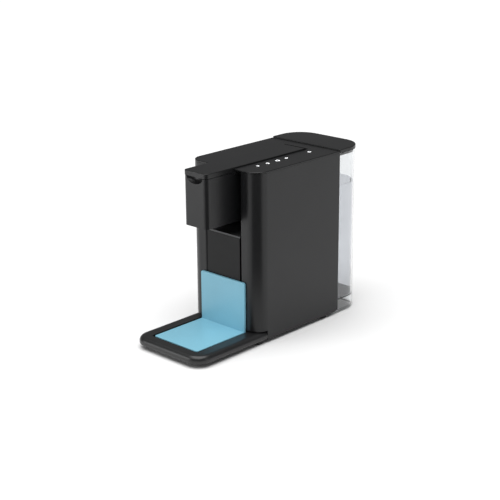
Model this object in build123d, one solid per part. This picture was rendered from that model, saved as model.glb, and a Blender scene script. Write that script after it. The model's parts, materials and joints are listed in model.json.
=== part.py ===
from build123d import *
import os
from math import acos, cos, pi, radians, sin, tan

# Pod coffee machine. Millimetres. +X is the machine's right, -Y its front, +Z up.
# The origin is on the table, under the middle of the machine's box.

# ---- Overall sizes ----
WIDTH = 130.0
DEPTH = 347.0
BODY_HEIGHT = 248.0
FOOT_HEIGHT = 5.5
LEVER_RISE = 2.0
LID_RISE = 1.8

# ---- Lengths along the machine ----
TRAY_REACH = 115.5
HEAD_REACH = 53.0
PAD_SETBACK = 19.5
TANK_DEPTH = 58.5
NOTCH_DEPTH = 52.0
LID_SEAM = 0.4
REAR_STRIP = 19.4
BIN_LENGTH = 106.0

# ---- Widths ----
HEAD_WIDTH = 44.6
CHANNEL_WIDTH = 64.0
PAD_WIDTH = 84.0
CHAMBER_WIDTH = 50.0

# ---- Heights ----
HEAD_HEIGHT = 69.5
SHELF_DROP = 94.5
WING_CLEARANCE = 1.7
TRAY_HEIGHT = 11.8
LEVER_THICK = 6.8
PAD_UPRIGHT = 72.2
FRAME_DROP = 90.0
CLAMP_AXIS_DROP = 48.0

# ---- Walls and plates ----
WALL = 2.5
THIN_WALL = 1.8
HEAD_WALL = 2.0
TANK_WALL = 2.2
BASE_THICK = 3.0
COVER_THICK = 2.4
PLATE = 2.0

# ---- Corner radii ----
WING_RADIUS = 20.0
CHANNEL_RADIUS = 4.0
HEAD_RADIUS = 7.0
LEVER_RADIUS = 6.0
TRAY_RADIUS = 22.0
TRAY_TOP_RADIUS = 7.0
TRAY_UNDER_RADIUS = 3.0
TANK_RADIUS = 36.0
TANK_UNDER_RADIUS = 20.0
BODY_UNDER_RADIUS = 7.0
EDGE = 1.0

# ---- Clearances ----
SEAM = 0.3
SLIDE_GAP = 0.3
SIDE_GAP = 0.4
LEVER_GAP = 0.7
BIN_GAP = 0.8
RUNNING = 0.05
PAD_GAP = 2.5
PAD_FRONT_GAP = 3.0

# ---- Lever, gears and racks ----
LEVER_SWING = 75.0
KNUCKLE_RADIUS = 9.5
SHAFT_RADIUS = 3.0
GEAR_MODULE = 1.5
GEAR_TEETH = 10
PRESSURE_ANGLE = radians(25.0)
ADDENDUM = 1.05
DEDENDUM = 1.35
BACKLASH = 0.2
GEAR_WIDTH = 4.0
GEAR_HUB_RADIUS = 4.2
RACK_DEPTH = 7.6
FRAME_TAIL = 15.0

# ---- Pod chamber ----
POD_LENGTH = 30.0
POD_SLOT_WIDTH = 40.0
CLAMP_SETBACK = 22.0
CLAMP_THICK = 8.0
INJECTOR_THICK = 11.0
INJECTOR_RADIUS = 20.0
NOZZLE_RADIUS = 5.0
NOZZLE_DROP = 10.0
SPOUT_RADIUS = 6.0
SPOUT_SETBACK = 26.0
SPOUT_BELOW = 5.0

# ---- Keys ----
KEY_X = 35.5
KEY_RADIUS = 4.0
KEY_THICK = 3.4
KEY_TRAVEL = 1.2
KEY_GAP = 0.15
KEY_SETBACKS = {
    "key_small_cup": 32.6,
    "key_medium_cup": 52.2,
    "key_large_cup": 72.5,
    "key_rinse": 91.4,
    "key_power": 140.2,
}

# ---- Feet, dock and screws ----
FOOT_RADIUS = 6.5
FOOT_INSET = 9.5
REAR_FOOT_INSET = 25.6
TONGUE_REACH = 21.2
DOCK_WIDTH = 36.0
DOCK_DEPTH = 25.4
TANK_FLOOR_RISE = 15.5
VALVE_RADIUS = 5.5
SCREW_RADIUS = 1.5

# ---- Inside equipment ----
BOARD_THICK = 1.6
BOARD_HEIGHT = 140.0
HEATER_HALF = 22.0
HEATER_DEPTH = 24.0
METER_RADIUS = 13.0
BOARD_STANDOFF = 4.5
PUMP_SIZE = 36.0
PUMP_TUBE_RADIUS = 6.0
HOSE_RADIUS = 3.0
HOSE_BORE = 1.5
HOSE_BEND = 7.0

# ---- Places worked out from the sizes ----
SIDE = WIDTH / 2
FRONT = -DEPTH / 2
BACK = DEPTH / 2
WING_FRONT = FRONT + TRAY_REACH
HEAD_FRONT = WING_FRONT - HEAD_REACH
BODY_BACK = BACK - TANK_DEPTH - LID_SEAM
LOW_FRONT = WING_FRONT + WING_RADIUS
NOTCH_BACK = WING_FRONT + NOTCH_DEPTH
RECESS_BACK = BODY_BACK - REAR_STRIP
HALF_HEAD = HEAD_WIDTH / 2
HALF_CHANNEL = CHANNEL_WIDTH / 2
HALF_PAD = PAD_WIDTH / 2
HALF_CHAMBER = CHAMBER_WIDTH / 2
INSIDE = SIDE - WALL

BASE_TOP = FOOT_HEIGHT + BASE_THICK
TRAY_TOP = FOOT_HEIGHT + TRAY_HEIGHT
WING_BOTTOM = TRAY_TOP + WING_CLEARANCE
COVER_UNDER = BODY_HEIGHT - COVER_THICK
PANEL_TOP = COVER_UNDER - SEAM
LEVER_TOP = BODY_HEIGHT + LEVER_RISE
LEVER_UNDER = LEVER_TOP - LEVER_THICK
RECESS_FLOOR = LEVER_UNDER - LEVER_GAP
RECESS_UNDER = RECESS_FLOOR - WALL
HEAD_BOTTOM = RECESS_FLOOR - HEAD_HEIGHT
SHELF_TOP = BODY_HEIGHT - SHELF_DROP
SHELF_UNDER = SHELF_TOP - WALL
FRAME_BOTTOM = BODY_HEIGHT - FRAME_DROP
CLAMP_AXIS = BODY_HEIGHT - CLAMP_AXIS_DROP
NOZZLE_AXIS = CLAMP_AXIS - NOZZLE_DROP

PIVOT_Y = RECESS_BACK - LEVER_GAP - KNUCKLE_RADIUS
PIVOT_Z = LEVER_TOP - KNUCKLE_RADIUS
PITCH_RADIUS = GEAR_MODULE * GEAR_TEETH / 2
TOOTH_PITCH = pi * GEAR_MODULE
RACK_LINE = PIVOT_Z - PITCH_RADIUS
RACK_ROOT = RACK_LINE - DEDENDUM
RACK_BOTTOM = RACK_ROOT - RACK_DEPTH
CLAMP_STROKE = PITCH_RADIUS * radians(LEVER_SWING)

FRAME_SIDE = HALF_CHAMBER + PLATE
GEAR_INNER = FRAME_SIDE + SIDE_GAP
GEAR_OUTER = GEAR_INNER + GEAR_WIDTH
BULKHEAD_BACK = NOTCH_BACK + WALL
CLAMP_FRONT = WING_FRONT + NOTCH_DEPTH + CLAMP_SETBACK - CLAMP_THICK
CLAMP_FACE = CLAMP_FRONT + CLAMP_THICK
INJECTOR_FACE = CLAMP_FACE + POD_LENGTH
FRAME_WALL = INJECTOR_FACE + INJECTOR_THICK
SLOT_FRONT = CLAMP_FACE - CLAMP_STROKE
BAY_BACK = WING_FRONT + BIN_LENGTH + 2 * PLATE
FRAME_BACK = PIVOT_Y + FRAME_TAIL


def block(x0, x1, y0, y1, z0, z1):
    """Box between two corners."""
    centre = ((x0 + x1) / 2, (y0 + y1) / 2, (z0 + z1) / 2)
    return Pos(*centre) * Box(x1 - x0, y1 - y0, z1 - z0)


def rod_x(radius, x0, x1, y, z):
    return Pos((x0 + x1) / 2, y, z) * Rot(0, 90, 0) * Cylinder(radius, x1 - x0)


def rod_y(radius, x, y0, y1, z):
    return Pos(x, (y0 + y1) / 2, z) * Rot(90, 0, 0) * Cylinder(radius, y1 - y0)


def rod_z(radius, x, y, z0, z1):
    return Pos(x, y, (z0 + z1) / 2) * Cylinder(radius, z1 - z0)


def outline(corners):
    """Flat face from (u, v, corner radius) triples."""
    face = make_face(Polyline(*[(u, v) for u, v, _ in corners], close=True))
    for u, v, radius in corners:
        if radius > 0:
            corner = face.vertices().sort_by_distance((u, v, 0))[0]
            face = fillet(corner, radius)
    return face


def plan(corners, z0, z1):
    """Upright prism over a plan outline."""
    return extrude(Pos(0, 0, z0) * outline(corners), z1 - z0, dir=(0, 0, 1))


def side_plane(x, y=0.0, z=0.0):
    """Plane seen from the right: its own x is the machine's Y and its own y is Z."""
    return Plane(origin=(x, y, z), x_dir=(0, 1, 0), z_dir=(1, 0, 0))


def profile(corners, x0, x1):
    """Prism across the machine over a side outline of (y, z, radius) triples."""
    return extrude(side_plane(x0) * outline(corners), x1 - x0, dir=(1, 0, 0))


def both_sides(shape):
    return shape + mirror(shape, about=Plane.YZ)


def one_solid(shape):
    """The single solid inside a boolean's result."""
    return shape.solids().sort_by(SortBy.VOLUME)[-1]


def body_side_outline():
    """Side view of the body, with the rounded lower back corner."""
    return profile([
        (WING_FRONT, FOOT_HEIGHT, 0),
        (WING_FRONT, BODY_HEIGHT, 0),
        (BODY_BACK, BODY_HEIGHT, 0),
        (BODY_BACK, FOOT_HEIGHT, BODY_UNDER_RADIUS),
    ], -SIDE, SIDE)


# ---- Smaller sizes and the places that follow ----
SCOOP_HALF = 15.5
SCOOP_DEPTH = 7.0
SCOOP_DROP = 9.5
SPOUT_Y = HEAD_FRONT + SPOUT_SETBACK
DUCT_RADIUS = 7.0
DUCT_BOTTOM = NOZZLE_AXIS - DUCT_RADIUS
DUCT_BACK = NOTCH_BACK + 2.0
NOZZLE_LENGTH = CLAMP_FRONT - NOTCH_BACK + 6.0
SEAL_RADIUS = 17.0
SEAL_THICK = 3.0
STUB_RADIUS = 2.4
NIPPLE_RADIUS = 4.0
NIPPLE_Z = FOOT_HEIGHT + 9.0
NIPPLE_END = BODY_BACK - 10.6
SLED_HALF = HALF_CHANNEL - 1.0
GLAND_RADIUS = 6.0
GLAND_X = -SIDE + 20.0
GLAND_Y = BODY_BACK - 14.6
POST_RADIUS = 2.0
POST_PLACES = [WING_FRONT + 42.4, WING_FRONT + 62.3, WING_FRONT + 115.0]
KEY_BOARD_INNER = HALF_CHANNEL + WALL + 0.7
KEY_BOARD_OUTER = KEY_BOARD_INNER + 10.8
SWITCH_HALF = 1.7
SWITCH_HEIGHT = 3.6
KEY_BOARD_TOP = BODY_HEIGHT - KEY_THICK - KEY_TRAVEL - SWITCH_HEIGHT - 0.2
KEY_BAY_TOP = BODY_HEIGHT - KEY_THICK - KEY_TRAVEL - 0.9

PUMP_X = 28.0
PUMP_Y = BODY_BACK - 34.6
PUMP_SEAT = BASE_TOP + 16.5
PUMP_COIL = PUMP_SEAT + 20.0
PUMP_COIL_TOP = PUMP_COIL + 47.0
PUMP_TOP = PUMP_COIL_TOP + 20.0
METER_Y = BODY_BACK - 23.6
METER_PORT_X = METER_RADIUS + 3.0
HEATER_PORT_X = 10.0
BOARD_X = -INSIDE + BOARD_STANDOFF
BOARD_FRONT = LOW_FRONT + 18.0
BOARD_BACK = BODY_BACK - 19.6
BOARD_BOTTOM = BASE_TOP + 31.5
PAD_FRONT = FRONT + PAD_SETBACK
PAD_BACK = WING_FRONT - 0.3
PAD_TOP = TRAY_TOP - 0.5
PAD_WALL = 3.0
BASIN_BACK = PAD_BACK - 3.7
TANK_INSET = 0.8
TANK_TOP = BODY_HEIGHT - 3.6
TANK_BOTTOM = FOOT_HEIGHT + 0.5
TANK_FLOOR = FOOT_HEIGHT + TANK_FLOOR_RISE
LID_TOP = BODY_HEIGHT + LID_RISE
DOCK_Y = BODY_BACK + 13.4
SEAL_OUTER = 8.0

KEY_PLACES = {name: WING_FRONT + setback for name, setback in KEY_SETBACKS.items()}
BASE_BOSS_PLACES = [LOW_FRONT + 18.0, BODY_BACK - 44.6]
FRAME_SCREW_PLACES = [CLAMP_FRONT + 2.0, BAY_BACK - 8.0]
FRAME_SCREW_Z = FRAME_BOTTOM + 3.0
SCREW_HEAD_RADIUS = 3.0
SCREW_HEAD = 2.0
BOSS_TOP = BASE_TOP + 11.5
BOSS_WIDTH = 8.5
BOSS_HALF = 5.0


# ---- Housing ----
def side_panel_right():
    """Shell that turns the front corner and runs back along the pod bin's bay."""
    shell = plan([
        (SIDE, BODY_BACK, 0),
        (SIDE, WING_FRONT, WING_RADIUS),
        (HALF_CHANNEL, WING_FRONT, CHANNEL_RADIUS),
        (HALF_CHANNEL, BAY_BACK, 0),
        (HALF_CHANNEL + WALL, BAY_BACK, 0),
        (HALF_CHANNEL + WALL, WING_FRONT + WALL, CHANNEL_RADIUS - WALL),
        (INSIDE, WING_FRONT + WALL, WING_RADIUS - WALL),
        (INSIDE, BODY_BACK, 0),
    ], FOOT_HEIGHT, PANEL_TOP)
    shell -= block(0, SIDE + 1, WING_FRONT - 1, LOW_FRONT, 0, WING_BOTTOM)
    shell -= block(0, INSIDE, LOW_FRONT, BAY_BACK + 1, 0, BASE_TOP)
    shell -= block(0, INSIDE - 1, BULKHEAD_BACK, BAY_BACK + 1, FRAME_BOTTOM + 12, BODY_HEIGHT)
    wing_floor = plan([
        (SIDE, LOW_FRONT, 0),
        (SIDE, WING_FRONT, WING_RADIUS),
        (HALF_CHANNEL, WING_FRONT, CHANNEL_RADIUS),
        (HALF_CHANNEL, LOW_FRONT, 0),
    ], WING_BOTTOM, WING_BOTTOM + WALL)
    panel = (shell + wing_floor) & body_side_outline()
    for y in BASE_BOSS_PLACES:
        panel += block(INSIDE - BOSS_WIDTH, INSIDE, y - BOSS_HALF, y + BOSS_HALF, BASE_TOP, BOSS_TOP)
        panel -= rod_z(SCREW_RADIUS, INSIDE - BOSS_WIDTH / 2, y, BASE_TOP - 1, BOSS_TOP - 2)
    for y in FRAME_SCREW_PLACES:
        panel -= rod_x(SCREW_RADIUS + 0.1, HALF_CHANNEL - 1, HALF_CHANNEL + WALL + 1, y, FRAME_SCREW_Z)
    for y in KEY_PLACES.values():
        if y < BULKHEAD_BACK + KEY_RADIUS:
            reach = KEY_RADIUS + 1
            panel -= block(0, INSIDE - 5, y - reach, y + reach, KEY_BAY_TOP, BODY_HEIGHT)
    return one_solid(panel)


def rear_panel():
    panel = block(-INSIDE, INSIDE, BODY_BACK - WALL, BODY_BACK, BASE_TOP, PANEL_TOP)
    panel &= body_side_outline()
    return one_solid(panel - rod_y(NIPPLE_RADIUS + 0.1, 0, BODY_BACK - 5, BODY_BACK + 1, NIPPLE_Z))


def base_plate():
    """Floor of the machine with a front tongue for the front feet and a low front wall."""
    floor = block(-INSIDE, INSIDE, LOW_FRONT, BODY_BACK - WALL, FOOT_HEIGHT, BASE_TOP)
    floor &= body_side_outline()
    half_tongue = INSIDE - SLIDE_GAP
    tongue = block(-half_tongue, half_tongue, LOW_FRONT - TONGUE_REACH, LOW_FRONT, FOOT_HEIGHT, BASE_TOP)
    wall = block(HALF_CHANNEL + WALL, INSIDE, LOW_FRONT, LOW_FRONT + PLATE, BASE_TOP, WING_BOTTOM)
    base = floor + tongue + both_sides(wall)
    for y in BASE_BOSS_PLACES:
        x = INSIDE - BOSS_WIDTH / 2
        hole = rod_z(SCREW_RADIUS + 0.1, x, y, FOOT_HEIGHT - 1, BASE_TOP + 1)
        hole += rod_z(SCREW_HEAD_RADIUS + 0.1, x, y, FOOT_HEIGHT - 1, FOOT_HEIGHT + SCREW_HEAD)
        base -= both_sides(hole)
    base -= rod_z(GLAND_RADIUS, GLAND_X, GLAND_Y, 0, BASE_TOP + 1)
    return one_solid(base)


def top_cover():
    """Top plate with the long lever recess, the pod slot and the key holes."""
    corners = [
        (SIDE, BODY_BACK, 0),
        (SIDE, WING_FRONT, WING_RADIUS),
        (-SIDE, WING_FRONT, WING_RADIUS),
        (-SIDE, BODY_BACK, 0),
    ]
    cover = plan(corners, COVER_UNDER, BODY_HEIGHT)
    cover = fillet(cover.edges().group_by(Axis.Z)[-1], EDGE)
    half_recess = HALF_HEAD + SIDE_GAP
    half_outer = half_recess + PLATE
    floor_back = PIVOT_Y - KNUCKLE_RADIUS - PLATE
    trough_back = RECESS_BACK + PLATE
    cover += block(-half_outer, half_outer, WING_FRONT, trough_back, RECESS_UNDER, COVER_UNDER)
    cover -= block(-half_recess, half_recess, WING_FRONT - 1, RECESS_BACK, RECESS_FLOOR, BODY_HEIGHT + 1)
    cover -= block(-half_recess, half_recess, floor_back, RECESS_BACK, RECESS_UNDER - 1, RECESS_FLOOR)
    cover -= block(-POD_SLOT_WIDTH / 2, POD_SLOT_WIDTH / 2, SLOT_FRONT, INJECTOR_FACE,
                   RECESS_UNDER - 1, RECESS_FLOOR + 1)
    slot_half = SHAFT_RADIUS + 0.5
    cover -= rod_x(slot_half, -half_outer - 1, half_outer + 1, PIVOT_Y, PIVOT_Z)
    cover -= block(-half_outer - 1, half_outer + 1, PIVOT_Y - slot_half, PIVOT_Y + slot_half,
                   RECESS_UNDER - 1, PIVOT_Z)
    rib_outer = INSIDE - 0.2
    rib_back = BODY_BACK - 2 * WALL
    rib = block(rib_outer - PLATE, rib_outer, LOW_FRONT + PLATE, rib_back, COVER_UNDER - 5, COVER_UNDER)
    cover += both_sides(rib)
    for y in POST_PLACES:
        cover += rod_z(POST_RADIUS, KEY_BOARD_OUTER - 3, y, KEY_BOARD_TOP, COVER_UNDER)
    for y in KEY_PLACES.values():
        cover -= rod_z(KEY_RADIUS + KEY_GAP, KEY_X, y, COVER_UNDER - 1, BODY_HEIGHT + 1)
    return one_solid(cover)


def bulkhead():
    """Wall that closes the notch on each side of the head and the channel above the shelf."""
    half = HALF_CHANNEL - 0.2
    wall = block(-half, half, NOTCH_BACK, BULKHEAD_BACK, SHELF_UNDER, PANEL_TOP)
    wall -= block(-HALF_HEAD - 0.2, HALF_HEAD + 0.2, NOTCH_BACK - 1, BULKHEAD_BACK + 1,
                  HEAD_BOTTOM, PANEL_TOP + 1)
    trough = HALF_HEAD + SIDE_GAP + PLATE + SEAM
    wall -= block(-trough, trough, NOTCH_BACK - 1, BULKHEAD_BACK + 1, RECESS_UNDER - SEAM, PANEL_TOP + 1)
    key_bay = block(KEY_X - KEY_RADIUS - 1, SIDE, NOTCH_BACK - 1, BULKHEAD_BACK + 1,
                    KEY_BAY_TOP, BODY_HEIGHT)
    return one_solid(wall - key_bay)


def bin_shelf():
    half = HALF_CHANNEL - 0.2
    return block(-half, half, WING_FRONT, NOTCH_BACK, SHELF_UNDER, SHELF_TOP)


def finger_scoop():
    """Shallow dish, round from the front, that a fingertip reaches into."""
    upper_half = Pos(0, SCOOP_DROP / 2) * Rectangle(2 * SCOOP_HALF, SCOOP_DROP)
    half_shape = Ellipse(SCOOP_HALF, SCOOP_DROP) & upper_half
    dish = revolve(half_shape, Axis.X, 360)
    return Pos(0, HEAD_FRONT - SCOOP_DROP + SCOOP_DEPTH, RECESS_FLOOR) * dish


def head_cover():
    """Narrow brew head with a scooped finger grip under the lever's lip."""
    def head_plan(inset, radius, z0, z1):
        half = HALF_HEAD - inset
        return plan([
            (half, NOTCH_BACK, 0),
            (half, HEAD_FRONT + inset, radius),
            (-half, HEAD_FRONT + inset, radius),
            (-half, NOTCH_BACK, 0),
        ], z0, z1)
    head = head_plan(0, HEAD_RADIUS, HEAD_BOTTOM, RECESS_FLOOR)
    hollow = head_plan(HEAD_WALL, HEAD_RADIUS - HEAD_WALL, HEAD_BOTTOM + WALL, RECESS_FLOOR - WALL)
    head -= hollow
    head -= block(-SIDE, SIDE, WING_FRONT - 0.2, NOTCH_BACK + 1, RECESS_UNDER - SEAM, BODY_HEIGHT)
    wide = SCOOP_HALF + HEAD_WALL
    head += block(-wide, wide, HEAD_FRONT + HEAD_WALL / 2, HEAD_FRONT + SCOOP_DEPTH + HEAD_WALL,
                  RECESS_FLOOR - SCOOP_DROP - HEAD_WALL, RECESS_FLOOR - HEAD_WALL / 2)
    head -= finger_scoop()
    for y in (SPOUT_Y + 18, NOTCH_BACK - 22):
        head += block(-4, 4, y - 2, y + 2, HEAD_BOTTOM + WALL, DUCT_BOTTOM)
    head -= rod_z(SPOUT_RADIUS + 0.1, 0, SPOUT_Y, HEAD_BOTTOM - 1, HEAD_BOTTOM + WALL + 1)
    return one_solid(head)


def foot(x, y):
    disc = rod_z(FOOT_RADIUS, x, y, 0, FOOT_HEIGHT)
    return fillet(disc.edges().group_by(Axis.Z)[0], EDGE)


# ---- Lever, gears, racks and pod clamp ----
def lever():
    """Flat plate that ends in a round knuckle on the shaft."""
    plate = plan([
        (HALF_HEAD, PIVOT_Y, 0),
        (HALF_HEAD, HEAD_FRONT, LEVER_RADIUS),
        (-HALF_HEAD, HEAD_FRONT, LEVER_RADIUS),
        (-HALF_HEAD, PIVOT_Y, 0),
    ], LEVER_UNDER, LEVER_TOP)
    rim = plate.edges().group_by(Axis.Z)[-1].filter_by(lambda e: e.center().Y < PIVOT_Y - 1)
    plate = fillet(rim, EDGE)
    hollow_half = HALF_HEAD - 3 * EDGE
    plate -= block(-hollow_half, hollow_half, HEAD_FRONT + 20, PIVOT_Y - 20,
                   LEVER_UNDER - 1, LEVER_TOP - WALL)
    for x in (-HALF_HEAD / 3, HALF_HEAD / 3):
        plate += block(x - EDGE, x + EDGE, HEAD_FRONT + 15, PIVOT_Y - 15, LEVER_UNDER, LEVER_TOP - WALL)
    plate += rod_x(KNUCKLE_RADIUS, -HALF_HEAD, HALF_HEAD, PIVOT_Y, PIVOT_Z)
    plate -= rod_x(SHAFT_RADIUS, -SIDE, SIDE, PIVOT_Y, PIVOT_Z)
    return one_solid(plate)


def lever_shaft():
    return rod_x(SHAFT_RADIUS, -GEAR_OUTER - 0.4, GEAR_OUTER + 0.4, PIVOT_Y, PIVOT_Z)


def involute(angle):
    return tan(angle) - angle


def gear_tooth(direction):
    """One involute tooth outline pointing along a direction, about the gear's centre."""
    base_radius = PITCH_RADIUS * cos(PRESSURE_ANGLE)
    half_tooth = (TOOTH_PITCH / 2 - BACKLASH) / (2 * PITCH_RADIUS) + involute(PRESSURE_ANGLE)
    steps = 5
    flank = [(PITCH_RADIUS - DEDENDUM - 0.5, half_tooth)]
    for step in range(steps + 1):
        radius = base_radius + (PITCH_RADIUS + ADDENDUM - base_radius) * step / steps
        flank.append((radius, half_tooth - involute(acos(base_radius / radius))))
    points = [(r * cos(direction + a), r * sin(direction + a)) for r, a in flank]
    points += [(r * cos(direction - a), r * sin(direction - a)) for r, a in reversed(flank)]
    return make_face(Polyline(*points, close=True))


def sector_gear_right():
    """Half gear whose teeth point down and back while the lever is shut."""
    gear = Circle(PITCH_RADIUS - DEDENDUM)
    tooth_angle = 360 / GEAR_TEETH
    below = Pos(0, -2 * PITCH_RADIUS) * Rectangle(4 * PITCH_RADIUS, 4 * PITCH_RADIUS)
    gear &= Rot(0, 0, tooth_angle) * below
    for number in range(-1, 4):
        gear += gear_tooth(radians(-90 + number * tooth_angle))
    gear += Circle(GEAR_HUB_RADIUS)
    gear -= Circle(SHAFT_RADIUS)
    gear = extrude(side_plane(GEAR_INNER, PIVOT_Y, PIVOT_Z) * gear, GEAR_WIDTH, dir=(1, 0, 0))
    return one_solid(gear)


def rack_right():
    """Toothed bar that pushes the pod clamp forward as the lever lifts."""
    bar = block(GEAR_INNER, GEAR_OUTER, CLAMP_FRONT, FRAME_BACK, RACK_BOTTOM, RACK_ROOT)
    half_line = (TOOTH_PITCH / 2 - BACKLASH) / 2
    tip = half_line - ADDENDUM * tan(PRESSURE_ANGLE)
    root = half_line + DEDENDUM * tan(PRESSURE_ANGLE)
    for number in range(-2, 3):
        y = PIVOT_Y + (number + 0.5) * TOOTH_PITCH
        bar += profile([
            (y - root, RACK_ROOT, 0),
            (y - tip, RACK_LINE + ADDENDUM, 0),
            (y + tip, RACK_LINE + ADDENDUM, 0),
            (y + root, RACK_ROOT, 0),
        ], GEAR_INNER, GEAR_OUTER)
    return one_solid(bar)


def pod_clamp():
    """Plate with a round cup for the pod's lid, a nozzle forward and an arm to each rack."""
    half = HALF_CHAMBER - EDGE
    clamp = block(-half, half, CLAMP_FRONT, CLAMP_FACE, CLAMP_AXIS - 22, RACK_ROOT - SEAM)
    clamp -= rod_y(SEAL_RADIUS, 0, CLAMP_FACE - SEAL_THICK, CLAMP_FACE + 1, CLAMP_AXIS)
    arm = block(half, GEAR_INNER, CLAMP_FRONT, CLAMP_FACE - PLATE, RACK_BOTTOM, RACK_ROOT - SEAM)
    clamp += both_sides(arm)
    clamp += rod_y(NOZZLE_RADIUS, 0, CLAMP_FRONT - NOZZLE_LENGTH, CLAMP_FRONT, NOZZLE_AXIS)
    clamp -= rod_y(PLATE, 0, CLAMP_FRONT - NOZZLE_LENGTH - 1, CLAMP_FACE, NOZZLE_AXIS)
    return one_solid(clamp)


def clamp_seal():
    ring = rod_y(SEAL_RADIUS, 0, CLAMP_FACE - SEAL_THICK, CLAMP_FACE, CLAMP_AXIS)
    return ring - rod_y(SEAL_RADIUS - 3, 0, CLAMP_FACE - 9, CLAMP_FACE + 9, CLAMP_AXIS)


# ---- Brew unit ----
def brew_frame():
    """Two side plates and a rear wall that hold the chamber, shaft and racks."""
    plate = block(HALF_CHAMBER, FRAME_SIDE, BULKHEAD_BACK, FRAME_BACK, FRAME_BOTTOM, PANEL_TOP - SEAM)
    window_front = CLAMP_FRONT - CLAMP_STROKE - 0.6
    plate -= block(0, SIDE, window_front, CLAMP_FACE, RACK_BOTTOM - 0.5, RACK_ROOT + 0.2)
    plate -= rod_x(SHAFT_RADIUS + RUNNING, 0, SIDE, PIVOT_Y, PIVOT_Z)
    ledge_outer = HALF_CHANNEL - 0.2
    plate += block(FRAME_SIDE, ledge_outer, CLAMP_FACE + 4, FRAME_BACK,
                   RACK_BOTTOM - SLIDE_GAP - PLATE, RACK_BOTTOM - SLIDE_GAP)
    for y in FRAME_SCREW_PLACES:
        plate += block(FRAME_SIDE, HALF_CHANNEL, y - 4, y + 4, FRAME_BOTTOM, FRAME_BOTTOM + 6)
        plate -= rod_x(SCREW_RADIUS, FRAME_SIDE + 1, HALF_CHANNEL + 1, y, FRAME_SCREW_Z)
    frame = both_sides(plate)
    frame += block(-HALF_CHAMBER, HALF_CHAMBER, FRAME_WALL, FRAME_WALL + WALL,
                   FRAME_BOTTOM, CLAMP_AXIS + 28)
    frame -= rod_y(STUB_RADIUS, 0, FRAME_WALL - 1, FRAME_WALL + WALL + 1, CLAMP_AXIS)
    return one_solid(frame)


def injector_head():
    head = rod_y(INJECTOR_RADIUS, 0, INJECTOR_FACE, FRAME_WALL, CLAMP_AXIS)
    head -= rod_y(INJECTOR_RADIUS - 3, 0, INJECTOR_FACE - 1, INJECTOR_FACE + PLATE, CLAMP_AXIS)
    head += rod_y(STUB_RADIUS, 0, FRAME_WALL, FRAME_WALL + WALL, CLAMP_AXIS)
    head += rod_y(PLATE / 2, 0, INJECTOR_FACE - 3, INJECTOR_FACE + PLATE, CLAMP_AXIS)
    return one_solid(head)


def injector_gasket():
    ring = rod_y(INJECTOR_RADIUS, 0, INJECTOR_FACE - PLATE, INJECTOR_FACE, CLAMP_AXIS)
    return ring - rod_y(INJECTOR_RADIUS - 3, 0, INJECTOR_FACE - 9, INJECTOR_FACE + 9, CLAMP_AXIS)


def thermoblock():
    """Cast heater block with cooling grooves, bolted to the frame's rear wall."""
    front = FRAME_WALL + WALL
    back = front + HEATER_DEPTH
    heater = block(-HEATER_HALF, HEATER_HALF, front, back, CLAMP_AXIS - 35, CLAMP_AXIS + 15)
    for number in range(5):
        z = CLAMP_AXIS - 29 + number * 9
        heater -= both_sides(block(HEATER_HALF - 3, HEATER_HALF + 1, front - 1, back + 1, z, z + 3))
    return one_solid(heater)


def thermostat():
    back = FRAME_WALL + WALL + HEATER_DEPTH
    return rod_y(7, -8, back, back + 4, CLAMP_AXIS) + rod_y(4, -8, back + 4, back + 7, CLAMP_AXIS)


def coffee_duct():
    """Tube along the head that the clamp's nozzle slides in."""
    duct = rod_y(DUCT_RADIUS, 0, SPOUT_Y, DUCT_BACK, NOZZLE_AXIS)
    duct += block(-DUCT_RADIUS, DUCT_RADIUS, SPOUT_Y - 8, SPOUT_Y + 8,
                  DUCT_BOTTOM, NOZZLE_AXIS + DUCT_RADIUS)
    nozzle_end = CLAMP_FRONT - NOZZLE_LENGTH - CLAMP_STROKE - 2
    duct -= rod_y(NOZZLE_RADIUS + RUNNING, 0, nozzle_end, DUCT_BACK + 1, NOZZLE_AXIS)
    duct -= rod_y(HOSE_RADIUS, 0, SPOUT_Y, nozzle_end + 1, NOZZLE_AXIS)
    duct -= rod_z(HOSE_RADIUS, 0, SPOUT_Y, DUCT_BOTTOM - 1, NOZZLE_AXIS)
    return one_solid(duct)


def coffee_spout():
    spout = rod_z(SPOUT_RADIUS, 0, SPOUT_Y, HEAD_BOTTOM - SPOUT_BELOW, DUCT_BOTTOM)
    return spout - rod_z(HOSE_RADIUS, 0, SPOUT_Y, 0, BODY_HEIGHT)


# ---- Water and power equipment ----
def pump_core():
    """Vibration pump: square coil with its inlet below and outlet above."""
    half = PUMP_SIZE / 2
    pump = block(PUMP_X - half, PUMP_X + half, PUMP_Y - half, PUMP_Y + half, PUMP_COIL, PUMP_COIL_TOP)
    pump += rod_z(HOSE_RADIUS + 2, PUMP_X, PUMP_Y, PUMP_SEAT, PUMP_COIL)
    pump += rod_z(PUMP_TUBE_RADIUS, PUMP_X, PUMP_Y, PUMP_COIL_TOP, PUMP_TOP)
    pump += rod_z(HOSE_RADIUS, PUMP_X, PUMP_Y, PUMP_TOP, PUMP_TOP + 3)
    pump += rod_x(HOSE_RADIUS, PUMP_X, PUMP_X + 12, PUMP_Y, PUMP_SEAT + 7)
    return one_solid(pump)


def pump_mount_lower():
    return block(PUMP_X - 8, PUMP_X + 8, PUMP_Y - 8, PUMP_Y + 8, BASE_TOP, PUMP_SEAT)


def pump_mount_upper():
    bracket = block(PUMP_X - 9, PUMP_X + 9, PUMP_Y - 9, BODY_BACK - WALL, PUMP_TOP - 14, PUMP_TOP - 6)
    return bracket - rod_z(PUMP_TUBE_RADIUS, PUMP_X, PUMP_Y, 0, BODY_HEIGHT)


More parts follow.
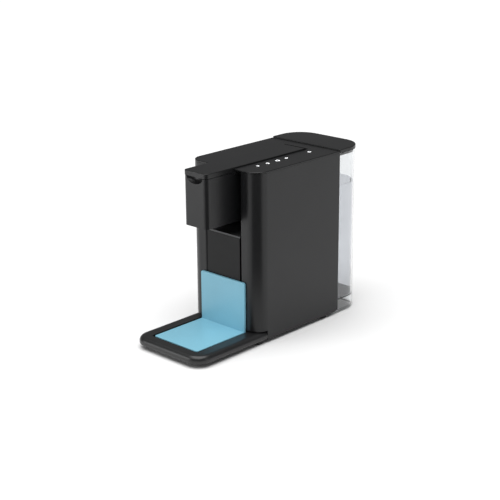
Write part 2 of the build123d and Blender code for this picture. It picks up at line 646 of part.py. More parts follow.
def flow_meter():
    meter = rod_z(METER_RADIUS, 0, METER_Y, BASE_TOP, BASE_TOP + 13.5)
    meter += block(-5, 5, METER_Y + 9, NIPPLE_END, BASE_TOP + 1, BASE_TOP + 11)
    meter += rod_x(HOSE_RADIUS, METER_RADIUS - 1, METER_PORT_X, METER_Y, NIPPLE_Z)
    return one_solid(meter)


def hose(points):
    """Round tube along straight runs joined by equal arcs."""
    path = FilletPolyline(*points, radius=HOSE_BEND)
    start = Plane(origin=path @ 0, z_dir=path % 0)
    return sweep(start * (Circle(HOSE_RADIUS) - Circle(HOSE_BORE)), path=path)


def inlet_hose():
    turn = PUMP_X + 26
    port = PUMP_SEAT + 7
    return hose([
        (METER_PORT_X, METER_Y, NIPPLE_Z),
        (turn, METER_Y, NIPPLE_Z),
        (turn, METER_Y, port),
        (turn, PUMP_Y, port),
        (PUMP_X + 12, PUMP_Y, port),
    ])


def pressure_hose():
    back = FRAME_WALL + WALL + HEATER_DEPTH
    turn = back + 14
    return hose([
        (PUMP_X, PUMP_Y, PUMP_TOP + 3),
        (PUMP_X, PUMP_Y, PUMP_TOP + 23),
        (PUMP_X, turn, PUMP_TOP + 23),
        (HEATER_PORT_X, turn, CLAMP_AXIS - 8),
        (HEATER_PORT_X, back, CLAMP_AXIS - 8),
    ])


def main_board():
    """Circuit board on the left side panel with its relay and capacitors."""
    face = BOARD_X + BOARD_THICK
    board = block(BOARD_X, face, BOARD_FRONT, BOARD_BACK, BOARD_BOTTOM, BOARD_BOTTOM + BOARD_HEIGHT)
    relay_front = BOARD_FRONT + 70
    relay_bottom = BOARD_BOTTOM + 20
    board += block(face, face + 12, relay_front, relay_front + 20, relay_bottom, relay_bottom + 16)
    for number in range(3):
        board += rod_x(5, face, face + 14, BOARD_FRONT + 74 + 12 * number, BOARD_BOTTOM + 60)
    return one_solid(board)


def board_spacers():
    spacers = Part()
    for y in (BOARD_FRONT + 6, BOARD_BACK - 6):
        for z in (BOARD_BOTTOM + 6, BOARD_BOTTOM + BOARD_HEIGHT - 6):
            spacers += rod_x(PLATE, -INSIDE, BOARD_X, y, z)
    return spacers


def power_module():
    face = BOARD_X + BOARD_THICK
    return block(face, face + 16, BOARD_FRONT + 20, BOARD_FRONT + 60, BOARD_BOTTOM + 20, BOARD_BOTTOM + 60)


def key_board():
    board = block(KEY_BOARD_INNER, KEY_BOARD_OUTER, min(KEY_PLACES.values()) - 8,
                  max(KEY_PLACES.values()) + 8, KEY_BOARD_TOP - BOARD_THICK, KEY_BOARD_TOP)
    for y in KEY_PLACES.values():
        board += block(KEY_BOARD_INNER, KEY_BOARD_INNER + 2 * SWITCH_HALF, y - SWITCH_HALF, y + SWITCH_HALF,
                       KEY_BOARD_TOP, KEY_BOARD_TOP + SWITCH_HEIGHT)
    return one_solid(board)


def key(y):
    cap = rod_z(KEY_RADIUS, KEY_X, y, BODY_HEIGHT - KEY_THICK, BODY_HEIGHT)
    return fillet(cap.edges().group_by(Axis.Z)[-1], SEAM)


def cord_gland():
    """Rubber bush in the base, where a mains lead would leave."""
    gland = rod_z(GLAND_RADIUS, GLAND_X, GLAND_Y, FOOT_HEIGHT, BASE_TOP)
    gland += rod_z(GLAND_RADIUS + PLATE, GLAND_X, GLAND_Y, BASE_TOP, BASE_TOP + PLATE)
    gland += rod_z(GLAND_RADIUS + 1, GLAND_X, GLAND_Y, FOOT_HEIGHT - 1.5, FOOT_HEIGHT)
    return one_solid(gland - rod_z(GLAND_RADIUS / 2, GLAND_X, GLAND_Y, 0, BASE_TOP + 9))


def base_screws():
    screws = Part()
    x = INSIDE - BOSS_WIDTH / 2
    for y in BASE_BOSS_PLACES:
        screw = rod_z(SCREW_HEAD_RADIUS, x, y, FOOT_HEIGHT, FOOT_HEIGHT + SCREW_HEAD)
        screw += rod_z(SCREW_RADIUS, x, y, FOOT_HEIGHT, BOSS_TOP - 3)
        screws += both_sides(screw)
    return screws


def frame_screws():
    screws = Part()
    wall_face = HALF_CHANNEL + WALL
    for y in FRAME_SCREW_PLACES:
        screw = rod_x(SCREW_HEAD_RADIUS, wall_face, wall_face + SCREW_HEAD, y, FRAME_SCREW_Z)
        screw += rod_x(SCREW_RADIUS, HALF_CHANNEL - 3, wall_face, y, FRAME_SCREW_Z)
        screws += both_sides(screw)
    return screws


# ---- Drip tray, insert and pod bin ----
def rim_edges(shape, group, back):
    """Edges of the lowest (0) or highest (-1) face, all but the straight one at the back."""
    return shape.edges().group_by(Axis.Z)[group].filter_by(lambda e: e.center().Y < back - EDGE)


def drip_tray():
    """Front tray with a basin, a flat rim round it and a sled that carries the pod bin."""
    back = LOW_FRONT - SLIDE_GAP
    deck_under = TRAY_TOP - WALL
    tray = plan([
        (SIDE, back, 0),
        (SIDE, FRONT, TRAY_RADIUS),
        (-SIDE, FRONT, TRAY_RADIUS),
        (-SIDE, back, 0),
    ], FOOT_HEIGHT, TRAY_TOP)
    tray = fillet(rim_edges(tray, -1, back), TRAY_TOP_RADIUS)
    tray = fillet(rim_edges(tray, 0, back), TRAY_UNDER_RADIUS)
    half_basin = HALF_PAD + PAD_GAP
    basin_front = PAD_FRONT - PAD_FRONT_GAP
    tray -= plan([
        (half_basin, BASIN_BACK, 0),
        (half_basin, basin_front, 3),
        (-half_basin, basin_front, 3),
        (-half_basin, BASIN_BACK, 0),
    ], BASE_TOP - 0.5, TRAY_TOP + 1)
    tray -= block(-half_basin, half_basin, BASIN_BACK - 1, PAD_BACK + 0.5, PAD_TOP - PLATE, TRAY_TOP + 1)
    tray -= block(-SLED_HALF - 0.5, SLED_HALF + 0.5, PAD_BACK, back + 1, PAD_TOP - PLATE, TRAY_TOP + 1)
    pocket_inner = half_basin + WALL
    pocket_outer = INSIDE - PLATE
    pocket = block(pocket_inner, pocket_outer, basin_front, BASIN_BACK, FOOT_HEIGHT - 1, deck_under)
    tray -= both_sides(pocket)
    tray -= block(-INSIDE, INSIDE, BASIN_BACK + WALL, back + 1, FOOT_HEIGHT - 1, PAD_TOP - 2 * PLATE)
    sled_back = BAY_BACK - 2 * PLATE
    sled_under = PAD_TOP - 2 * PLATE
    tray += block(-SLED_HALF, SLED_HALF, back - 1, sled_back, sled_under, PAD_TOP - PLATE)
    runner = block(SLED_HALF - WALL, SLED_HALF, back, sled_back, BASE_TOP + SLIDE_GAP, sled_under)
    tray += both_sides(runner)
    for x in (-HALF_PAD + 8, 0, HALF_PAD - 8):
        tray += block(x - EDGE, x + EDGE, basin_front - 1, BASIN_BACK + 1, BASE_TOP - 1, PAD_TOP - PLATE)
    return one_solid(tray)


def drip_insert():
    """L-shaped splash insert: a flat cup stand with an upright back."""
    foot_plate = plan([
        (HALF_PAD, PAD_BACK, 0),
        (HALF_PAD, PAD_FRONT, 3),
        (-HALF_PAD, PAD_FRONT, 3),
        (-HALF_PAD, PAD_BACK, 0),
    ], PAD_TOP - PLATE, PAD_TOP)
    front_view = Plane(origin=(0, PAD_BACK, 0), x_dir=(1, 0, 0), z_dir=(0, -1, 0))
    upright = extrude(front_view * outline([
        (-HALF_PAD, PAD_TOP - PLATE, 0),
        (HALF_PAD, PAD_TOP - PLATE, 0),
        (HALF_PAD, PAD_TOP + PAD_UPRIGHT, 3),
        (-HALF_PAD, PAD_TOP + PAD_UPRIGHT, 3),
    ]), PAD_WALL, dir=(0, -1, 0))
    return one_solid(foot_plate + upright)


def pod_bin():
    """Open box behind the channel front that catches used pods."""
    half = HALF_CHANNEL - BIN_GAP
    bottom = PAD_TOP - PLATE
    back = WING_FRONT + BIN_LENGTH
    bin_box = block(-half, half, WING_FRONT, back, bottom, SHELF_UNDER - 0.6)
    return bin_box - block(-half + THIN_WALL, half - THIN_WALL, WING_FRONT + THIN_WALL, back - THIN_WALL,
                           bottom + THIN_WALL, SHELF_TOP)


# ---- Water tank ----
def tank_plan(inset, z0, z1, front_inset=0.0):
    half = SIDE - TANK_INSET - inset
    front = BODY_BACK + LID_SEAM + front_inset
    back = BACK - TANK_INSET - inset
    radius = TANK_RADIUS - TANK_INSET - inset
    return plan([
        (half, front, 0),
        (half, back, radius),
        (-half, back, radius),
        (-half, front, 0),
    ], z0, z1)


def tank_side(inset):
    """Side view of the tank, inset all round, with the large lower back round."""
    back = BACK - TANK_INSET - inset
    bottom = TANK_BOTTOM + inset
    return profile([
        (BODY_BACK, bottom, 0),
        (BODY_BACK, BODY_HEIGHT, 0),
        (back, BODY_HEIGHT, 0),
        (back, bottom, TANK_UNDER_RADIUS - inset),
    ], -SIDE, SIDE)


def water_tank():
    """Clear tank: a skirt almost to the table, a raised floor and an open mouth."""
    front = BODY_BACK + LID_SEAM
    tank = tank_plan(0, TANK_BOTTOM, TANK_TOP) & tank_side(0)
    tank -= tank_plan(TANK_WALL, TANK_FLOOR + TANK_WALL, TANK_TOP + 1, TANK_WALL)
    under = tank_plan(TANK_WALL, TANK_BOTTOM, TANK_FLOOR, TANK_WALL) & tank_side(TANK_WALL)
    open_bottom = tank_plan(TANK_WALL, 0, TANK_BOTTOM + 2 * TANK_WALL, TANK_WALL)
    under += open_bottom & block(-SIDE, SIDE, front, BACK - TANK_UNDER_RADIUS, 0, TANK_FLOOR)
    tank -= under
    half_dock = DOCK_WIDTH / 2 + 0.5
    tank -= block(-half_dock, half_dock, front - 1, front + TANK_WALL + 1, 0, TANK_FLOOR)
    return one_solid(tank - rod_z(VALVE_RADIUS, 0, DOCK_Y, TANK_FLOOR - 1, TANK_FLOOR + 9))


def tank_valve():
    valve = rod_z(VALVE_RADIUS, 0, DOCK_Y, TANK_FLOOR - 8, TANK_FLOOR + TANK_WALL)
    valve += rod_z(VALVE_RADIUS + 3, 0, DOCK_Y, TANK_FLOOR + TANK_WALL, TANK_FLOOR + TANK_WALL + 3)
    return one_solid(valve - rod_z(PLATE, 0, DOCK_Y, 0, TANK_FLOOR + TANK_WALL + 9))


def tank_lid():
    """Lift-off lid with a rounded rim and a lip inside the mouth."""
    half = SIDE
    lid = plan([
        (half, BODY_BACK + LID_SEAM, 2),
        (half, BACK, TANK_RADIUS),
        (-half, BACK, TANK_RADIUS),
        (-half, BODY_BACK + LID_SEAM, 2),
    ], TANK_TOP, LID_TOP)
    lid = fillet(lid.edges().group_by(Axis.Z)[-1], EDGE)
    lid -= tank_plan(TANK_WALL + 2, TANK_TOP - 1, LID_TOP - PLATE, TANK_WALL + 2)
    lip = tank_plan(TANK_WALL + 0.3, TANK_TOP - 4, TANK_TOP + 1, TANK_WALL + 0.3)
    lip -= tank_plan(TANK_WALL + 2, TANK_TOP - 5, TANK_TOP + 2, TANK_WALL + 2)
    return one_solid(lid + lip)


def tank_dock():
    """Ledge behind the body that carries the tank and takes its valve."""
    half = DOCK_WIDTH / 2
    dock = block(-half, half, BODY_BACK, BODY_BACK + DOCK_DEPTH, FOOT_HEIGHT + 2.5, TANK_FLOOR)
    dock -= rod_z(VALVE_RADIUS + RUNNING, 0, DOCK_Y, TANK_FLOOR - 9, TANK_FLOOR + 1)
    dock -= rod_z(SEAL_OUTER, 0, DOCK_Y, TANK_FLOOR - 2.5, TANK_FLOOR + 1)
    dock += rod_y(NIPPLE_RADIUS, 0, NIPPLE_END, BODY_BACK, NIPPLE_Z)
    return one_solid(dock - rod_y(PLATE, 0, NIPPLE_END - 1, DOCK_Y, NIPPLE_Z))


def dock_seal():
    ring = rod_z(SEAL_OUTER, 0, DOCK_Y, TANK_FLOOR - 2.5, TANK_FLOOR - 0.3)
    return ring - rod_z(VALVE_RADIUS + 0.3, 0, DOCK_Y, 0, BODY_HEIGHT)


def all_parts():
    panel = side_panel_right()
    gear = sector_gear_right()
    rack = rack_right()
    parts = {
        "base_plate": base_plate(),
        "side_panel_left": mirror(panel, about=Plane.YZ),
        "side_panel_right": panel,
        "rear_panel": rear_panel(),
        "top_cover": top_cover(),
        "bulkhead": bulkhead(),
        "bin_shelf": bin_shelf(),
        "head_cover": head_cover(),
        "lever": lever(),
        "lever_shaft": lever_shaft(),
        "sector_gear_left": mirror(gear, about=Plane.YZ),
        "sector_gear_right": gear,
        "rack_left": mirror(rack, about=Plane.YZ),
        "rack_right": rack,
        "pod_clamp": pod_clamp(),
        "clamp_seal": clamp_seal(),
        "brew_frame": brew_frame(),
        "injector_head": injector_head(),
        "injector_gasket": injector_gasket(),
        "thermoblock": thermoblock(),
        "thermostat": thermostat(),
        "coffee_duct": coffee_duct(),
        "coffee_spout": coffee_spout(),
        "pump": pump_core(),
        "pump_mount_lower": pump_mount_lower(),
        "pump_mount_upper": pump_mount_upper(),
        "flow_meter": flow_meter(),
        "inlet_hose": inlet_hose(),
        "pressure_hose": pressure_hose(),
        "main_board": main_board(),
        "board_spacers": board_spacers(),
        "power_module": power_module(),
        "key_board": key_board(),
        "cord_gland": cord_gland(),
        "base_screws": base_screws(),
        "frame_screws": frame_screws(),
        "drip_tray": drip_tray(),
        "drip_insert": drip_insert(),
        "pod_bin": pod_bin(),
        "water_tank": water_tank(),
        "tank_valve": tank_valve(),
        "tank_lid": tank_lid(),
        "tank_dock": tank_dock(),
        "dock_seal": dock_seal(),
    }
    foot_rows = {
        "front": LOW_FRONT - TONGUE_REACH / 2,
        "rear": BODY_BACK - REAR_FOOT_INSET,
    }
    for row, y in foot_rows.items():
        parts[f"foot_{row}_left"] = foot(-SIDE + FOOT_INSET, y)
        parts[f"foot_{row}_right"] = foot(SIDE - FOOT_INSET, y)
    for name, y in KEY_PLACES.items():
        parts[name] = key(y)
    return parts


os.makedirs("parts", exist_ok=True)
for node, shape in all_parts().items():
    export_step(shape, f"parts/{node}.step")
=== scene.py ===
import bpy
import json
from math import cos, pi, radians, sin
from mathutils import Matrix, Vector


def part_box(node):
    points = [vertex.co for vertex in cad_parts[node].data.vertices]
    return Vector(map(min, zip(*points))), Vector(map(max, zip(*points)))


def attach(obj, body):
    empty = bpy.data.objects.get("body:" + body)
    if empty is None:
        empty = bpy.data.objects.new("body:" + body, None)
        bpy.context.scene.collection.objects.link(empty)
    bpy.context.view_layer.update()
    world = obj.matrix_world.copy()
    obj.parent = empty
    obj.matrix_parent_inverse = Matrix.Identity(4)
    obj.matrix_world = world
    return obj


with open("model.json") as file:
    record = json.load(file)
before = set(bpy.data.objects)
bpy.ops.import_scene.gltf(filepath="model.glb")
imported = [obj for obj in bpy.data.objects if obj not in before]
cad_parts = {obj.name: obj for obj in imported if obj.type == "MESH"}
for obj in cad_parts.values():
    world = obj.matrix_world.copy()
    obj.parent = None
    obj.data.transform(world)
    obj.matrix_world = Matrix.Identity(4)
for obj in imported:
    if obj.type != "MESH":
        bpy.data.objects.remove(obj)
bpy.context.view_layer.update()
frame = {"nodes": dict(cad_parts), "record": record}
nodes = frame["nodes"]
scene = bpy.context.scene
MM = 0.001

# ---- Material helpers ----
CHARCOAL = (0.0085, 0.0087, 0.0094)
TRAY_CHARCOAL = (0.012, 0.0122, 0.0128)
DEEP_BLACK = (0.006, 0.006, 0.0064)
SPLASH_BLUE = (0.22, 0.50, 0.63)

# Noise scales, in waves per metre
CLOUDS = 9.0
RUBBED_PATCHES = 14.0
METAL_TONE = 40.0
HAZE = 90.0
WAVES = 30.0

# Worn edges with a painted edge highlight: how far the rounding reaches, and the cosines between which
# the wear and painted highlight fade out
WEAR_AND_HIGHLIGHT_RADIUS = 0.5 * MM
WEAR_AND_HIGHLIGHT_COSINE = 0.72
FLAT_COSINE = 0.98

SYMBOL_GLOW = 1.6


def scaled(colour, factor):
    return tuple(min(1.0, c * factor) for c in colour) + (1.0,)


def add_node(tree, kind, **values):
    """New node with its own properties and input values set by name."""
    node = tree.nodes.new(kind)
    for key, value in values.items():
        if hasattr(node, key):
            setattr(node, key, value)
        else:
            node.inputs[key.replace("_", " ")].default_value = value
    return node


def noise(tree, scale, detail=3.0):
    """Object-space noise, its scale in waves per metre."""
    place = add_node(tree, "ShaderNodeTexCoord")
    texture = add_node(tree, "ShaderNodeTexNoise", Scale=scale, Detail=detail)
    tree.links.new(place.outputs["Object"], texture.inputs["Vector"])
    return texture.outputs["Fac"]


def ranged(tree, source, low, high, start=0.3, stop=0.7):
    """Maps a texture's useful range onto low..high."""
    mapped = add_node(tree, "ShaderNodeMapRange")
    tree.links.new(source, mapped.inputs["Value"])
    for name, value in (("From Min", start), ("From Max", stop), ("To Min", low), ("To Max", high)):
        mapped.inputs[name].default_value = value
    return mapped.outputs["Result"]


def mixed(tree, factor, first, second):
    """Blends two colours, or a colour output and a colour, by a factor output."""
    mix = add_node(tree, "ShaderNodeMix", data_type="RGBA")
    tree.links.new(factor, mix.inputs["Factor"])
    for socket, value in ((mix.inputs[6], first), (mix.inputs[7], second)):
        if isinstance(value, tuple):
            socket.default_value = value
        else:
            tree.links.new(value, socket)
    return mix.outputs[2]


def edge_mask(tree, radius):
    """One on edges, where wear and a painted highlight go, and zero on flats, from how far a rounded
    normal turns.
    """
    rounded = add_node(tree, "ShaderNodeBevel", samples=4)
    rounded.inputs["Radius"].default_value = radius
    true_normal = add_node(tree, "ShaderNodeNewGeometry")
    angle = add_node(tree, "ShaderNodeVectorMath", operation="DOT_PRODUCT")
    tree.links.new(rounded.outputs["Normal"], angle.inputs[0])
    tree.links.new(true_normal.outputs["Normal"], angle.inputs[1])
    return ranged(tree, angle.outputs["Value"], 1.0, 0.0, WEAR_AND_HIGHLIGHT_COSINE, FLAT_COSINE)


def new_material(name):
    """Material with its node tree and its shader."""
    material = bpy.data.materials.new(name)
    material.use_nodes = True
    return material, material.node_tree, material.node_tree.nodes["Principled BSDF"]


def moulded(name, colour, rough, grain=1500.0, grain_depth=0.02 * MM, wear_and_highlight=1.6, specular=0.5):
    """Moulded plastic: spark-eroded grain, faint cloudy colour and roughness, edges paler for wear and a
    painted edge highlight.
    """
    material, tree, shader = new_material(name)
    clouds = ranged(tree, noise(tree, CLOUDS), 0.0, 1.0)
    cloudy = mixed(tree, clouds, scaled(colour, 0.93), scaled(colour, 1.07))
    speck = ranged(tree, noise(tree, grain * 0.7, 2.0), 0.0, 0.35, 0.5, 0.8)
    flecked = mixed(tree, speck, cloudy, scaled(colour, 1.35))
    # Edges lightened: partly real wear, partly a painted highlight along the rounded edges.
    worn_and_highlit = mixed(tree, edge_mask(tree, WEAR_AND_HIGHLIGHT_RADIUS), flecked, scaled(colour, wear_and_highlight))
    tree.links.new(worn_and_highlit, shader.inputs["Base Color"])
    rubbed = ranged(tree, noise(tree, RUBBED_PATCHES, 5.0), rough - 0.025, rough + 0.025)
    tree.links.new(rubbed, shader.inputs["Roughness"])
    bump = add_node(tree, "ShaderNodeBump", Strength=0.55, Distance=grain_depth)
    tree.links.new(noise(tree, grain, 2.0), bump.inputs["Height"])
    tree.links.new(bump.outputs["Normal"], shader.inputs["Normal"])
    shader.inputs["Specular IOR Level"].default_value = specular
    return material


def metal(name, colour, rough, streak=400.0):
    """Metal with fine scratches in its roughness and a light bump."""
    material, tree, shader = new_material(name)
    patches = ranged(tree, noise(tree, METAL_TONE), 0.0, 1.0)
    tone = mixed(tree, patches, scaled(colour, 0.85), scaled(colour, 1.1))
    tree.links.new(tone, shader.inputs["Base Color"])
    scratches = ranged(tree, noise(tree, streak, 6.0), rough - 0.08, rough + 0.1)
    tree.links.new(scratches, shader.inputs["Roughness"])
    bump = add_node(tree, "ShaderNodeBump", Strength=0.3, Distance=0.02 * MM)
    tree.links.new(noise(tree, streak * 2, 2.0), bump.inputs["Height"])
    tree.links.new(bump.outputs["Normal"], shader.inputs["Normal"])
    shader.inputs["Metallic"].default_value = 1.0
    return material


def clear(name, tint, rough, ior, haze_rough, wave_depth):
    """Clear plastic or water: faint haze in its roughness and a soft waviness."""
    material, tree, shader = new_material(name)
    patches = ranged(tree, noise(tree, 8.0), 0.0, 1.0)
    tone = mixed(tree, patches, scaled(tint, 0.99), scaled(tint, 1.0))
    tree.links.new(tone, shader.inputs["Base Color"])
    tree.links.new(ranged(tree, noise(tree, HAZE), rough, haze_rough), shader.inputs["Roughness"])
    bump = add_node(tree, "ShaderNodeBump", Strength=0.2, Distance=wave_depth)
    tree.links.new(noise(tree, WAVES, 1.0), bump.inputs["Height"])
    tree.links.new(bump.outputs["Normal"], shader.inputs["Normal"])
    shader.inputs["Transmission Weight"].default_value = 1.0
    shader.inputs["IOR"].default_value = ior
    return material


def lit_symbol(name):
    """White symbol lit from below, a little uneven along its strokes."""
    material, tree, shader = new_material(name)
    unevenness = ranged(tree, noise(tree, 1800.0), 0.0, 1.0)
    glow = mixed(tree, unevenness, (0.8, 0.82, 0.85, 1.0), (1.0, 1.0, 1.0, 1.0))
    tree.links.new(glow, shader.inputs["Base Color"])
    tree.links.new(glow, shader.inputs["Emission Color"])
    tree.links.new(ranged(tree, noise(tree, 500.0), 0.3, 0.5), shader.inputs["Roughness"])
    shader.inputs["Emission Strength"].default_value = SYMBOL_GLOW
    return material


# ---- Materials, one for each slot of the record ----
MATERIALS = {
    "housing_plastic": moulded("housing_charcoal", CHARCOAL, 0.31, specular=0.36),
    "inner_plastic": moulded("inner_black", DEEP_BLACK, 0.45, specular=0.22),
    "tray_plastic": moulded("tray_charcoal", TRAY_CHARCOAL, 0.34, wear_and_highlight=1.8),
    "bin_plastic": moulded("bin_black", DEEP_BLACK, 0.38, specular=0.2),
    "insert_plastic": moulded("splash_blue", SPLASH_BLUE, 0.34, 1400.0, 0.01 * MM, 1.1),
    "key_plastic": moulded("key_black", DEEP_BLACK, 0.38, 2500.0, 0.01 * MM),
    "clear_plastic": clear("tank_clear", (0.90, 0.912, 0.92), 0.02, 1.49, 0.08, 0.05 * MM),
    "valve_plastic": moulded("valve_grey", (0.45, 0.46, 0.48), 0.4),
    "rubber": moulded("black_rubber", (0.012, 0.012, 0.012), 0.75, 2200.0, 0.03 * MM, 1.3),
    "hose_rubber": moulded("milky_silicone", (0.62, 0.62, 0.6), 0.5, 700.0, 0.02 * MM, 1.05),
    "steel": metal("bright_steel", (0.6, 0.6, 0.61), 0.28),
    "gear_plastic": moulded("acetal", (0.66, 0.64, 0.58), 0.4, 1200.0, 0.01 * MM, 1.1),
    "cast_metal": metal("cast_aluminium", (0.5, 0.5, 0.51), 0.5, 250.0),
    "circuit_board": moulded("board_green", (0.02, 0.12, 0.05), 0.45, 300.0, 0.03 * MM),
}
# Shelf painted paler than the inner black it is made of: painted light where light reaches under the
# head.
PAINTED_LIGHT_SHELF = moulded("shelf_painted_light", (0.035, 0.035, 0.037), 0.4)
WATER = clear("tank_water", (0.70, 0.71, 0.745), 0.0, 1.12, 0.02, 0.02 * MM)
SYMBOL = lit_symbol("lit_white")


def finish_cad_nodes():
    """Gives every CAD node its slot's material; the shelf has one of its own, paler than its slot's,
    with light painted onto it.
    """
    for row in frame["record"]["subparts"]:
        mesh = nodes[row["node"]].data
        mesh.materials.clear()
        mesh.materials.append(PAINTED_LIGHT_SHELF if row["node"] == "bin_shelf" else MATERIALS[row["material_slot"]])


finish_cad_nodes()


# ---- Piece helpers ----
def linked(name, data):
    """Object of its own for some data, put into the scene."""
    thing = bpy.data.objects.new(name, data)
    scene.collection.objects.link(thing)
    return thing


def mesh_object(name, points, faces, material):
    mesh = bpy.data.meshes.new(name)
    mesh.from_pydata(points, [], faces)
    mesh.update()
    mesh.materials.append(material)
    return linked(name, mesh)


def add_mesh(name, points, faces, material, body):
    """Mesh piece that rides on a body, in the material it is given."""
    piece = mesh_object(name, points, faces, material)
    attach(piece, body)


def arc(centre, radius, start, stop, steps):
    """Points in the XY plane along an arc, angles in degrees."""
    angles = [radians(start + (stop - start) * i / steps) for i in range(steps + 1)]
    return [(centre[0] + radius * cos(a), centre[1] + radius * sin(a)) for a in angles]


# ---- Lit symbols on the keys ----
STROKE = 0.5 * MM
SYMBOL_SCALE = 1.3 * MM


def cup_symbol(width, height):
    """Side view of a cup with its handle, in millimetres."""
    half, base = width / 2, width * 0.38
    rim = height / 2
    bowl = [(-half, rim), (-base, -rim), (base, -rim), (half, rim), (-half, rim)]
    handle = arc((half * 0.95, height * 0.08), height * 0.27, 75, -80, 6)
    return [bowl, handle]


def drop_symbol():
    """Water drop: a circle drawn up to a point."""
    round_part = arc((0, -0.5), 1.35, 150, 390, 12)
    return [[(0, 2.1)] + round_part + [(0, 2.1)]]


def power_symbol():
    """Open ring with a short upright line through its gap."""
    return [arc((0, 0), 1.7, 125, 415, 14), [(0, 0.6), (0, 2.2)]]


def key_symbol(key, strokes):
    """Raised line symbol lying in a key's top, readable from the front."""
    low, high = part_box(key)
    middle_x = (low.x + high.x) / 2
    middle_y = (low.y + high.y) / 2
    curve = bpy.data.curves.new(f"symbol_{key}", "CURVE")
    curve.dimensions = "3D"
    curve.bevel_depth = STROKE / 2
    curve.bevel_resolution = 2
    for points in strokes:
        spline = curve.splines.new("POLY")
        spline.points.add(len(points) - 1)
        for target, (x, y) in zip(spline.points, points):
            target.co = (middle_x + x * SYMBOL_SCALE, middle_y + y * SYMBOL_SCALE, high.z, 1)
    curve.materials.append(SYMBOL)
    piece = linked(f"symbol_{key}", curve)
    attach(piece, key)


CUP_SIZES = {"small": (2.6, 1.8), "medium": (3.2, 2.5), "large": (3.8, 3.4)}
for cup, (width, height) in CUP_SIZES.items():
    key_symbol(f"key_{cup}_cup", cup_symbol(width, height))
key_symbol("key_rinse", drop_symbol())
key_symbol("key_power", power_symbol())

# ---- Water in the tank ----
TANK_WALL = 2.2 * MM
TANK_FLOOR = 17.7 * MM
TANK_CORNER = 33.0 * MM
WATER_GAP = 0.15 * MM
WATER_FILL = 0.80
MENISCUS = 0.8 * MM
CORNER_STEPS = 14


def tank_ring(inset, z):
    """Outline of the tank's inside at one height: square in front, round corners behind."""
    low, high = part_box("water_tank")
    x = high.x - TANK_WALL - WATER_GAP - inset
    front = low.y + TANK_WALL + WATER_GAP + inset
    back = high.y - TANK_WALL - WATER_GAP - inset
    radius = TANK_CORNER - WATER_GAP - inset
    outline = [(x, front)] + arc((x - radius, back - radius), radius, 0, 90, CORNER_STEPS)
    outline += arc((radius - x, back - radius), radius, 90, 180, CORNER_STEPS) + [(-x, front)]
    return [(px, py, z) for px, py in outline]


def water_body():
    """Water with its surface curved up to the walls."""
    low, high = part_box("water_tank")
    bottom = low.z + TANK_FLOOR + WATER_GAP
    surface = low.z + (high.z - low.z) * WATER_FILL
    rings = [
        tank_ring(0.0, bottom),
        tank_ring(0.0, surface),
        tank_ring(0.3 * MM, surface - MENISCUS * 0.7),
        tank_ring(1.2 * MM, surface - MENISCUS),
    ]
    count = len(rings[0])
    points = [p for ring in rings for p in ring]
    faces = [tuple(reversed(range(count)))]
    for level in range(len(rings) - 1):
        for i in range(count):
            j = (i + 1) % count
            under, over = level * count, (level + 1) * count
            faces.append((under + i, under + j, over + j, over + i))
    top = (len(rings) - 1) * count
    faces.append(tuple(range(top, top + count)))
    add_mesh("tank_water", points, faces, WATER, "tank")


water_body()

# ---- Floor ----
FLOOR_HALF = 20.0


def stage_material(name, first, second):
    """Plain matt surface that drifts between two greys."""
    material, tree, shader = new_material(name)
    tone = mixed(tree, ranged(tree, noise(tree, 3.0), 0.0, 1.0), scaled(first, 1.0), scaled(second, 1.0))
    tree.links.new(tone, shader.inputs["Base Color"])
    return material, tree, shader


def floor():
    """Large pale floor, whose edge lies far from every view."""
    points = [(x * FLOOR_HALF, y * FLOOR_HALF, 0.0) for x, y in ((-1, -1), (1, -1), (1, 1), (-1, 1))]
    material, tree, shader = stage_material("pale_floor", (0.9, 0.9, 0.9), (0.93, 0.93, 0.93))
    tree.links.new(ranged(tree, noise(tree, 30.0), 0.6, 0.7), shader.inputs["Roughness"])
    mesh_object("floor", points, [(0, 1, 2, 3)], material)


floor()


# ---- Studio light ----
def softbox(name, place, target, size, power):
    """Square area light aimed at a point."""
    light = bpy.data.lights.new(name, "AREA")
    light.shape = "RECTANGLE"
    light.size, light.size_y = size
    light.energy = power
    lamp = linked(name, light)
    lamp.location = place
    lamp.rotation_euler = (Vector(target) - Vector(place)).to_track_quat("-Z", "Y").to_euler()


WORLD_LEVEL = 0.16
BACKDROP_LEVEL = 1.0
SUN_LEVEL = 3.45
SUN_SPREAD = radians(70)
SUN_TILT = (radians(6), radians(4), 0)
MIDDLE = (0.0, 0.0, 0.12)


def studio_world():
    """Dim studio walls for light and reflections, with a pale backdrop above the floor's edge."""
    world = bpy.data.worlds.new("studio")
    world.use_nodes = True
    tree = world.node_tree
    walls = tree.nodes["Background"]
    walls.inputs["Color"].default_value = (1, 1, 1, 1)
    walls.inputs["Strength"].default_value = WORLD_LEVEL
    backdrop = add_node(tree, "ShaderNodeBackground", Color=(1, 1, 1, 1), Strength=BACKDROP_LEVEL)
    ray = add_node(tree, "ShaderNodeLightPath")
    shown = add_node(tree, "ShaderNodeMixShader")
    tree.links.new(ray.outputs["Is Camera Ray"], shown.inputs["Fac"])
    tree.links.new(walls.outputs["Background"], shown.inputs[1])
    tree.links.new(backdrop.outputs["Background"], shown.inputs[2])
    tree.links.new(shown.outputs["Shader"], tree.nodes["World Output"].inputs["Surface"])
    scene.world = world


def overhead():
    """Broad light from just off the zenith, which makes the floor white and its shadows soft."""
    light = bpy.data.lights.new("overhead", "SUN")
    light.energy = SUN_LEVEL
    light.angle = SUN_SPREAD
    linked("overhead", light).rotation_euler = SUN_TILT


CARD_NEAR = 0.3
CARD_FAR = 4.0
CARD_HALF_ANGLE = radians(36)
CARD_HEIGHT = 1.0 * MM


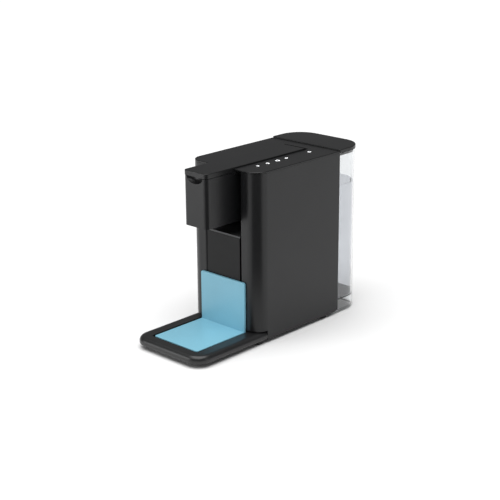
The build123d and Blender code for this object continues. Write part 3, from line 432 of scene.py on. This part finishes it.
def dark_card():
    """Dark sector on the floor on the camera's side, seen only in reflections: it shapes the corners."""
    middle = CAMERA_AZIMUTH - pi / 2
    angles = [middle + CARD_HALF_ANGLE * step / 2 for step in (-2, -1, 0, 1, 2)]
    points = [(r * cos(a), r * sin(a), CARD_HEIGHT) for r in (CARD_NEAR, CARD_FAR) for a in angles]
    count = len(angles)
    faces = [(i, i + 1, count + i + 1, count + i) for i in range(count - 1)]
    material = stage_material("card_black", (0.01, 0.01, 0.01), (0.015, 0.015, 0.015))[0]
    card = mesh_object("dark_card", points, faces, material)
    card.visible_camera = False
    card.visible_diffuse = False
    card.visible_shadow = False
    card.visible_transmission = False


studio_world()
overhead()
softbox("front_box", (-1.0, -1.5, 0.45), MIDDLE, (0.7, 0.8), 6.5)
softbox("right_box", (1.7, 0.25, 0.5), MIDDLE, (0.5, 1.0), 1.5)

# ---- Camera ----
CAMERA_PLACE = Vector((1.15265, -1.22444, 0.66777))
CAMERA_AZIMUTH = radians(43.37)
CAMERA_ELEVATION = radians(18.24)
CAMERA_ROLL = radians(-0.40)
CAMERA_LENS = 89.4
SENSOR_WIDTH = 36.0


def camera():
    """Level view towards an azimuth and down by an elevation, then rolled."""
    right = Vector((cos(CAMERA_AZIMUTH), sin(CAMERA_AZIMUTH), 0))
    flat = cos(CAMERA_ELEVATION)
    back = Vector((sin(CAMERA_AZIMUTH) * flat, -cos(CAMERA_AZIMUTH) * flat, sin(CAMERA_ELEVATION)))
    up = back.cross(right)
    rolled_right = right * cos(CAMERA_ROLL) + up * sin(CAMERA_ROLL)
    rolled_up = up * cos(CAMERA_ROLL) - right * sin(CAMERA_ROLL)
    data = bpy.data.cameras.new("camera")
    data.lens = CAMERA_LENS
    data.sensor_width = SENSOR_WIDTH
    eye = linked("camera", data)
    axes = Matrix((rolled_right, rolled_up, back)).transposed()
    eye.matrix_world = Matrix.Translation(CAMERA_PLACE) @ axes.to_4x4()
    scene.camera = eye


camera()
dark_card()
scene.view_settings.view_transform = "Standard"
